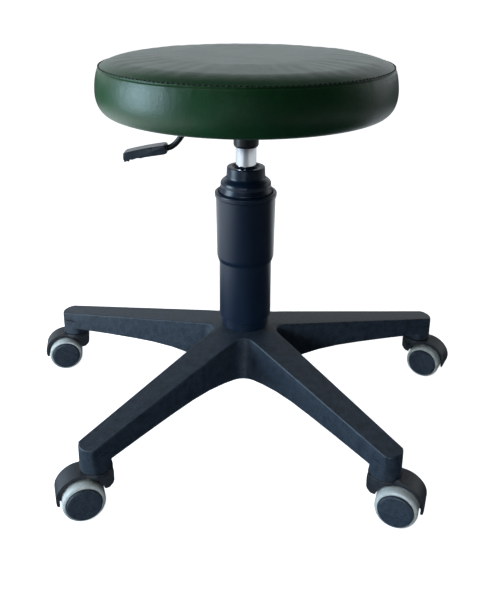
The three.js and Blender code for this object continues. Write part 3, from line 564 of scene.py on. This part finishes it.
def leverGrip(root):
    length, half, tip = lever["grip"], lever["root"] / 2, lever["tip"] / 2
    outline = [Vector((0, half - 1))]
    outline += curvePoints((0, half - 1), (-1, half + 0.4), (-4, half + 0.3), 4)
    outline += curvePoints((-4, half + 0.3), (-length / 2, half + 1.5), (-length + 2, tip + 0.2), 14)
    outline += curvePoints(outline[-1], (-length - 0.5, tip), (-length - 1, tip - 2), 4)
    outline += curvePoints(outline[-1], (-length - 2, -tip - 1), (-length - 1.4, -tip - 1.8), 4)
    outline += curvePoints(outline[-1], (-length, -tip - 2.3), (-length + 1.6, -tip - 1.8), 4)
    for reach in (11, 22):
        outline += curvePoints(outline[-1], (-length + reach - 5.5, -tip + 1.9), (-length + reach, -tip - 1.1), 8)
    outline += curvePoints(outline[-1], (-length + 25, -tip + 0.3), (-length + 30, -tip - 0.1), 6)
    outline += curvePoints(outline[-1], (-8, -half + 0.1), (-3, -half), 8)
    outline += curvePoints(outline[-1], (-0.6, -half + 0.2), (0, -half + 2), 4)
    bm = bmesh.new()
    slabShell(bm, [point * mm for point in outline[::-1]], lever["width"] / 2 * mm, lever["edge"] * mm, 4)
    place = Matrix.Translation(root * mm) @ Matrix.Rotation(-math.radians(lever["droop"]), 4, "Y")
    grip = finishMesh("leverGrip", bm, materials["gripPlastic"], 40, place)
    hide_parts("lever_grip")
    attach(grip, "lever")


leverGrip(leverRod())
print("lever made")

# seat cushion

seat = dict(around=240, seamRadius=189.4, seamHeight=492.4, stitchRadius=187.5, stitchHeight=494.9, stitches=190,
            stitchHalf=(1.8, 0.85), inset=0.7, swell=1.4, gain=0.4, flat=160.0, rim=(17.0, 27.0), fill=0.85)
padding = dict(frames=20, quality=6, mass=0.4, stretch=22, bend=1.2, pressure=4.0)
unevenness = dict(pucker=0.25, puckerReach=11, puckerPitch=28, swell=0.6, swellReach=12, lowest=0.445)
staples = dict(radius=157, count=48, half=(5, 0.45))


def cushionOutline():
    # (radius, height, held) rows from the middle of the top to the middle of the underside
    low, high = bottomOf("seat_cushion"), topOf("seat_cushion") - seat["inset"]
    radius = radiusOf("seat_cushion") - seat["inset"]
    seamR, seamZ = seat["seamRadius"], seat["seamHeight"]
    board = radiusOf("seat_board")
    underside = bottomOf("seat_board")
    rows = [(seat["flat"] * math.sqrt(i / 20), high - 0.9 * (i / 20) ** 2, 0.0) for i in range(21)]
    shoulder = seamR - 1.6 - seat["flat"]
    for i in range(1, 11):
        t = i / 10
        fall = (rows[20][1] - seamZ - 1.6) * (0.26 * t + 0.74 * t ** 1.8)
        rows.append((seat["flat"] + shoulder * t, rows[20][1] - fall, max(0.0, 2.2 * t - 1.25)))
    rows += [(seamR - 1.2, seamZ + 0.9, 1.0), (seamR - 2.6, seamZ + 0.1, 1.0), (seamR - 1.0, seamZ - 0.8, 1.0),
             (seamR - 0.1, seamZ - 1.3, 0.9), (seamR + 0.3, seamZ - 3.2, 0.35)]
    rimAcross, rimUp = seat["rim"]
    for i in range(1, 9):
        t = i / 9
        rows.append((seamR + 0.3 + (radius - seamR - 0.3) * math.sin(t * math.pi / 2) ** 0.75,
                     seamZ - 3.2 + (low + rimUp - seamZ + 3.2) * t, 0.0))
    for i in range(11):
        turn = math.radians(9 * i)
        rows.append((radius - rimAcross * (1 - math.cos(turn)), low + rimUp * (1 - math.sin(turn)),
                     min(1.0, 0.13 * i)))
    rows += [(board + 5.6, low + 0.4, 1.0), (board + 2.6, low + 1.6, 1.0), (board + 0.6, underside, 1.0),
             (board + 0.6, underside + 8, 1.0), (board + 0.6, underside + 12.4, 1.0)]
    rows += [(board * i / 6, underside + 12.6, 1.0) for i in (5.7, 5, 4, 3, 2, 1, 0)]
    return rows


def cushionMesh(rows):
    bm = bmesh.new()
    layer = bm.verts.layers.deform.verify()
    sides = seat["around"]
    rings = []
    for r, z, held in rows:
        if r == 0:
            vert = bm.verts.new((0, 0, z * mm))
            vert[layer][0] = held
            rings.append([vert] * sides)
            continue
        ring = []
        for i in range(sides):
            turn = 2 * math.pi * i / sides
            vert = bm.verts.new((r * mm * math.cos(turn), r * mm * math.sin(turn), z * mm))
            vert[layer][0] = held
            ring.append(vert)
        rings.append(ring)
    for high, low in zip(rings, rings[1:]):
        for i in range(sides):
            j = (i + 1) % sides
            bm.faces.new(list(dict.fromkeys((high[i], low[i], low[j], high[j]))))
    bmesh.ops.recalc_face_normals(bm, faces=bm.faces)
    mesh = bpy.data.meshes.new("seatCushionSkin")
    bm.to_mesh(mesh)
    bm.free()
    piece = bpy.data.objects.new("seatCushionSkin", mesh)
    bpy.context.scene.collection.objects.link(piece)
    piece.vertex_groups.new(name="held")
    return piece


def puffed(piece):
    # air pressure fills the cover between its seams; a part of that movement is kept, up to a limit
    before = [vert.co.copy() for vert in piece.data.vertices]
    cloth = piece.modifiers.new("padding", "CLOTH")
    settings = cloth.settings
    settings.quality = padding["quality"]
    settings.mass = padding["mass"]
    settings.tension_stiffness = settings.compression_stiffness = padding["stretch"]
    settings.bending_stiffness = padding["bend"]
    settings.use_pressure = True
    settings.uniform_pressure_force = padding["pressure"]
    settings.effector_weights.gravity = 0
    settings.vertex_group_mass = "held"
    cloth.collision_settings.use_collision = False
    cloth.point_cache.frame_start, cloth.point_cache.frame_end = 1, padding["frames"]
    scene = bpy.context.scene
    for step in range(1, padding["frames"] + 1):
        scene.frame_set(step)
    puffedMesh = bpy.data.meshes.new_from_object(piece.evaluated_get(bpy.context.evaluated_depsgraph_get()))
    limit = seat["swell"] * mm
    for vert, start in zip(puffedMesh.vertices, before):
        move = (vert.co - start) * seat["gain"]
        vert.co = start + move * min(1.0, limit / max(move.length, 1e-9))
    piece.modifiers.clear()
    piece.data = puffedMesh
    scene.frame_set(1)


def uneven(mesh):
    # small puckers along the seam, and a slow swell over the upper part
    seamR, seamZ = seat["seamRadius"] * mm, seat["seamHeight"] * mm
    pitch = unevenness["puckerPitch"]
    for vert in mesh.vertices:
        flat = vert.co.xy.length
        if flat < 0.1:
            continue
        outward = Vector((vert.co.x / flat, vert.co.y / flat, 0))
        turn = math.atan2(vert.co.y, vert.co.x)
        away = math.hypot(flat - seamR, vert.co.z - seamZ) / mm
        pucker = noise.noise(Vector((math.cos(turn) * pitch, math.sin(turn) * pitch, 0.3)))
        near = math.exp(-(away / unevenness["puckerReach"]) ** 2)
        vert.co += outward * (pucker * unevenness["pucker"] * near * mm)
        broad = noise.noise(Vector((vert.co.x * 14, vert.co.y * 14, vert.co.z * 30)))
        if vert.co.z > unevenness["lowest"]:
            vert.co.z += broad * unevenness["swell"] * mm * min(1, abs(away) / unevenness["swellReach"])


def seatCushion():
    piece = cushionMesh(cushionOutline())
    puffed(piece)
    smooth = piece.modifiers.new("smooth", "SUBSURF")
    smooth.levels = smooth.render_levels = 1
    fine = bpy.data.meshes.new_from_object(piece.evaluated_get(bpy.context.evaluated_depsgraph_get()))
    piece.modifiers.clear()
    piece.data = fine
    piece.vertex_groups.clear()
    uneven(fine)
    for face in fine.polygons:
        face.use_smooth = True
    fine.materials.clear()
    fine.materials.append(materials["vinyl"])
    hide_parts("seat_cushion")
    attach(piece, "seat")


def ringTree():
    # small beads set round a circle, each turned along it
    tree = bpy.data.node_groups.new("ringOfBeads", "GeometryNodeTree")
    for name, kind, value in (("Radius", "NodeSocketFloat", 0.19), ("Height", "NodeSocketFloat", 0.49),
                              ("Count", "NodeSocketInt", 200), ("Half length", "NodeSocketFloat", 0.0016),
                              ("Half width", "NodeSocketFloat", 0.0004), ("Seed", "NodeSocketInt", 4),
                              ("Finish", "NodeSocketMaterial", None)):
        socket = tree.interface.new_socket(name, in_out="INPUT", socket_type=kind)
        if value is not None:
            socket.default_value = value
    tree.interface.new_socket("Geometry", in_out="OUTPUT", socket_type="NodeSocketGeometry")
    given = tree.nodes.new("NodeGroupInput").outputs
    circle = addNode(tree, "GeometryNodeCurvePrimitiveCircle", {"Resolution": 256, "Radius": given["Radius"]})
    spots = addNode(tree, "GeometryNodeCurveToPoints", {"Curve": circle.outputs["Curve"], "Count": given["Count"]},
                    mode="COUNT")
    bead = addNode(tree, "GeometryNodeMeshUVSphere", {"Segments": 8, "Rings": 6, "Radius": 1.0})
    size = addNode(tree, "ShaderNodeCombineXYZ", {"X": given["Half width"], "Y": given["Half width"],
                                                  "Z": given["Half length"]})
    shaped = addNode(tree, "GeometryNodeTransform", {"Geometry": bead.outputs["Mesh"],
                                                     "Scale": size.outputs["Vector"]})
    scales = addNode(tree, "FunctionNodeRandomValue", {"Seed": given["Seed"]}, data_type="FLOAT")
    scales.inputs[2].default_value = 0.88
    scales.inputs[3].default_value = 1.08
    placed = addNode(tree, "GeometryNodeInstanceOnPoints", {
        "Points": spots.outputs["Points"], "Instance": shaped.outputs["Geometry"],
        "Rotation": spots.outputs["Rotation"], "Scale": scales.outputs[1]})
    up = addNode(tree, "ShaderNodeCombineXYZ", {"Z": given["Height"]})
    raised = addNode(tree, "GeometryNodeTransform", {"Geometry": placed.outputs["Instances"],
                                                     "Translation": up.outputs["Vector"]})
    real = addNode(tree, "GeometryNodeRealizeInstances", {"Geometry": raised.outputs["Geometry"]})
    finished = addNode(tree, "GeometryNodeSetMaterial", {"Geometry": real.outputs["Geometry"],
                                                         "Material": given["Finish"]})
    out = tree.nodes.new("NodeGroupOutput")
    tree.links.new(finished.outputs["Geometry"], out.inputs["Geometry"])
    return tree


def ringOfBeads(name, body, **values):
    holder = bpy.data.objects.new(name, bpy.data.meshes.new(name))
    bpy.context.scene.collection.objects.link(holder)
    modifier = holder.modifiers.new("ring", "NODES")
    modifier.node_group = beadTree
    for item in beadTree.interface.items_tree:
        if item.in_out == "INPUT" and item.name in values:
            modifier[item.identifier] = values[item.name]
    made = bpy.data.meshes.new_from_object(holder.evaluated_get(bpy.context.evaluated_depsgraph_get()))
    holder.modifiers.clear()
    holder.data = made
    for face in made.polygons:
        face.use_smooth = True
    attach(holder, body)


seatCushion()
beadTree = ringTree()
# the stitches' finish holds painted shade of the stitch holes as well as the thread's colour
ringOfBeads("seamStitches", "seat", **{
    "Radius": seat["stitchRadius"] * mm, "Height": seat["stitchHeight"] * mm, "Count": seat["stitches"],
    "Half length": seat["stitchHalf"][0] * mm, "Half width": seat["stitchHalf"][1] * mm, "Seed": 4,
    "Finish": materials["thread"]})
ringOfBeads("dustCoverStaples", "seat", **{
    "Radius": staples["radius"] * mm, "Height": bottomOf("dust_cover") * mm, "Count": staples["count"],
    "Half length": staples["half"][0] * mm, "Half width": staples["half"][1] * mm, "Seed": 9,
    "Finish": materials["zinc"]})
print("seat made")

# floor, light and camera

studio = dict(
    floorSize=30, floorWhite=0.9, seenFloor=0.92, feltFloor=(0.08, 0.10, 0.13), backdrop=0.95, front=0.03,
    overhead=0.09, tint=(0.90, 0.96, 1.0), glowInner=1.15, glowOuter=1.70, glow=0.24, glowLeft=0.72,
    glowRight=0.38, leftGlow=1.7, behindGlow=1.5)
middle = (0, 0, 0.3)
# the last lamp is a narrow beam that passes under the seat
lamps = [
    dict(name="keyLeft", place=(-2.0, -0.45, 0.60), aim=middle, size=(0.9, 1.4), power=48,
         colour=(0.64, 0.84, 1.0)),
    dict(name="topLeft", place=(-0.9, -0.9, 2.0), aim=middle, size=(1.2, 1.2), power=4.5,
         colour=(0.95, 0.98, 1.0)),
    dict(name="rimRight", place=(1.9, 0.9, 0.45), aim=middle, size=(0.5, 1.2), power=1.2,
         colour=(0.95, 0.97, 1.0)),
    dict(name="frontLow", place=(-0.3, -1.6, 0.45), aim=(0, -0.15, 0.03), size=(1.0, 0.3), power=0.8,
         colour=(0.80, 0.91, 1.0), spread=32)]


def area(name, place, aim, size, power, colour, spread=None):
    data = bpy.data.lights.new(name, "AREA")
    data.shape = "RECTANGLE"
    data.size, data.size_y = size
    data.energy = power
    data.color = colour
    if spread:
        data.spread = math.radians(spread)
    light = bpy.data.objects.new(name, data)
    light.location = place
    light.rotation_euler = (Vector(aim) - Vector(place)).to_track_quat("-Z", "Y").to_euler()
    bpy.context.scene.collection.objects.link(light)


def smoothStep(tree, value, start, end, low, high):
    step = addNode(tree, "ShaderNodeMapRange", {"Value": value, "From Min": start, "From Max": end,
                                                "To Min": low, "To Max": high}, interpolation_type="SMOOTHSTEP")
    return step.outputs["Result"]


def mathNode(tree, kind, first, second):
    return addNode(tree, "ShaderNodeMath", {0: first, 1: second}, operation=kind).outputs[0]


def floorGlow(tree):
    # a ring that the chrome tube mirrors, and a pale floor to the left of the stool and behind it
    place = placeSocket(tree)
    parts = addNode(tree, "ShaderNodeSeparateXYZ", {"Vector": place})
    away = addNode(tree, "ShaderNodeVectorMath", {0: place}, operation="LENGTH").outputs["Value"]
    inner, outer = studio["glowInner"], studio["glowOuter"]
    ring = mathNode(tree, "MULTIPLY", smoothStep(tree, away, inner - 0.1, inner + 0.1, 0.0, 1.0),
                    smoothStep(tree, away, outer - 0.1, outer + 0.1, 1.0, 0.0))
    toLeft = smoothStep(tree, parts.outputs["X"], -0.3, -1.2, studio["glow"], studio["glow"] + studio["glowLeft"])
    toRight = smoothStep(tree, parts.outputs["X"], 0.3, 1.2, 0.0, studio["glowRight"])
    across = mathNode(tree, "ADD", toLeft, toRight)
    left = smoothStep(tree, parts.outputs["X"], -0.25, -0.75, 0.0, studio["leftGlow"])
    behind = smoothStep(tree, parts.outputs["Y"], 0.2, 0.6, 0.0, studio["behindGlow"])
    near = smoothStep(tree, away, 0.9, 1.3, 1.0, 0.0)
    pale = mathNode(tree, "MULTIPLY", mathNode(tree, "MAXIMUM", left, behind), near)
    return mathNode(tree, "ADD", mathNode(tree, "MULTIPLY", ring, across), pale)


def studioFloor():
    bm = bmesh.new()
    bmesh.ops.create_grid(bm, x_segments=1, y_segments=1, size=studio["floorSize"])
    mesh = bpy.data.meshes.new("studioFloor")
    bm.to_mesh(mesh)
    bm.free()
    floor = bpy.data.objects.new("studioFloor", mesh)
    bpy.context.scene.collection.objects.link(floor)
    material, tree, shader = startMaterial("paleFloor")
    path = addNode(tree, "ShaderNodeLightPath")
    shader.inputs["Base Color"].default_value = (*[studio["floorWhite"]] * 3, 1)
    shader.inputs["Roughness"].default_value = 1.0
    shader.inputs["Specular IOR Level"].default_value = 0.0
    shader.inputs["Emission Color"].default_value = (1, 1, 1, 1)
    shader.inputs["Emission Strength"].default_value = studio["seenFloor"]
    felt = addNode(tree, "ShaderNodeBsdfDiffuse", {"Color": (*studio["feltFloor"], 1)})
    glow = addNode(tree, "ShaderNodeEmission", {"Color": (*studio["tint"], 1), "Strength": floorGlow(tree)})
    lit = addNode(tree, "ShaderNodeAddShader", {0: felt.outputs[0], 1: glow.outputs[0]})
    both = addNode(tree, "ShaderNodeMixShader", {0: path.outputs["Is Camera Ray"], 1: lit.outputs[0],
                                                 2: shader.outputs[0]})
    tree.links.new(both.outputs[0], tree.nodes["Material Output"].inputs["Surface"])
    mesh.materials.append(material)


def studioWorld():
    # a bright backdrop behind the stool, a dim room in front of it
    world = bpy.data.worlds.new("studioWorld")
    world.use_nodes = True
    tree = world.node_tree
    tree.nodes.clear()
    path = addNode(tree, "ShaderNodeLightPath")
    where = addNode(tree, "ShaderNodeTexCoord")
    parts = addNode(tree, "ShaderNodeSeparateXYZ", {"Vector": where.outputs["Generated"]})
    behind = smoothStep(tree, parts.outputs["Y"], -0.15, 0.75, studio["front"], studio["backdrop"])
    below = smoothStep(tree, parts.outputs["Z"], 0.38, 0.62, 1.0, 0.12)
    above = smoothStep(tree, parts.outputs["Z"], 0.35, 0.95, 0.0, studio["overhead"])
    total = mathNode(tree, "MAXIMUM", mathNode(tree, "MULTIPLY", behind, below), above)
    felt = addNode(tree, "ShaderNodeBackground", {"Color": (*studio["tint"], 1), "Strength": total})
    seen = addNode(tree, "ShaderNodeBackground", {"Color": (1, 1, 1, 1), "Strength": 1.0})
    both = addNode(tree, "ShaderNodeMixShader", {0: path.outputs["Is Camera Ray"], 1: felt.outputs[0],
                                                 2: seen.outputs[0]})
    addNode(tree, "ShaderNodeOutputWorld", {"Surface": both.outputs[0]})
    bpy.context.scene.world = world


view = dict(sensor=36, focal=41.667, shift=-1 / 6, place=(0.01818, -0.90091, 0.60917),
            right=(0.99971, 0.02335, 0.00623), up=(-0.01328, 0.31533, 0.94889), back=(0.0202, -0.94869, 0.31555))


def studioCamera():
    data = bpy.data.cameras.new("studioCamera")
    data.sensor_fit = "AUTO"
    data.sensor_width = view["sensor"]
    data.lens = view["focal"]
    data.shift_y = view["shift"]
    data.clip_start, data.clip_end = 0.05, 100
    camera = bpy.data.objects.new("studioCamera", data)
    turn = Matrix((view["right"], view["up"], view["back"])).transposed().to_4x4()
    camera.matrix_world = Matrix.Translation(view["place"]) @ turn
    bpy.context.scene.collection.objects.link(camera)
    bpy.context.scene.camera = camera


studioFloor()
studioWorld()
for lamp in lamps:
    area(**lamp)
studioCamera()
bpy.context.scene.view_settings.view_transform = "Standard"
print("scene ready")
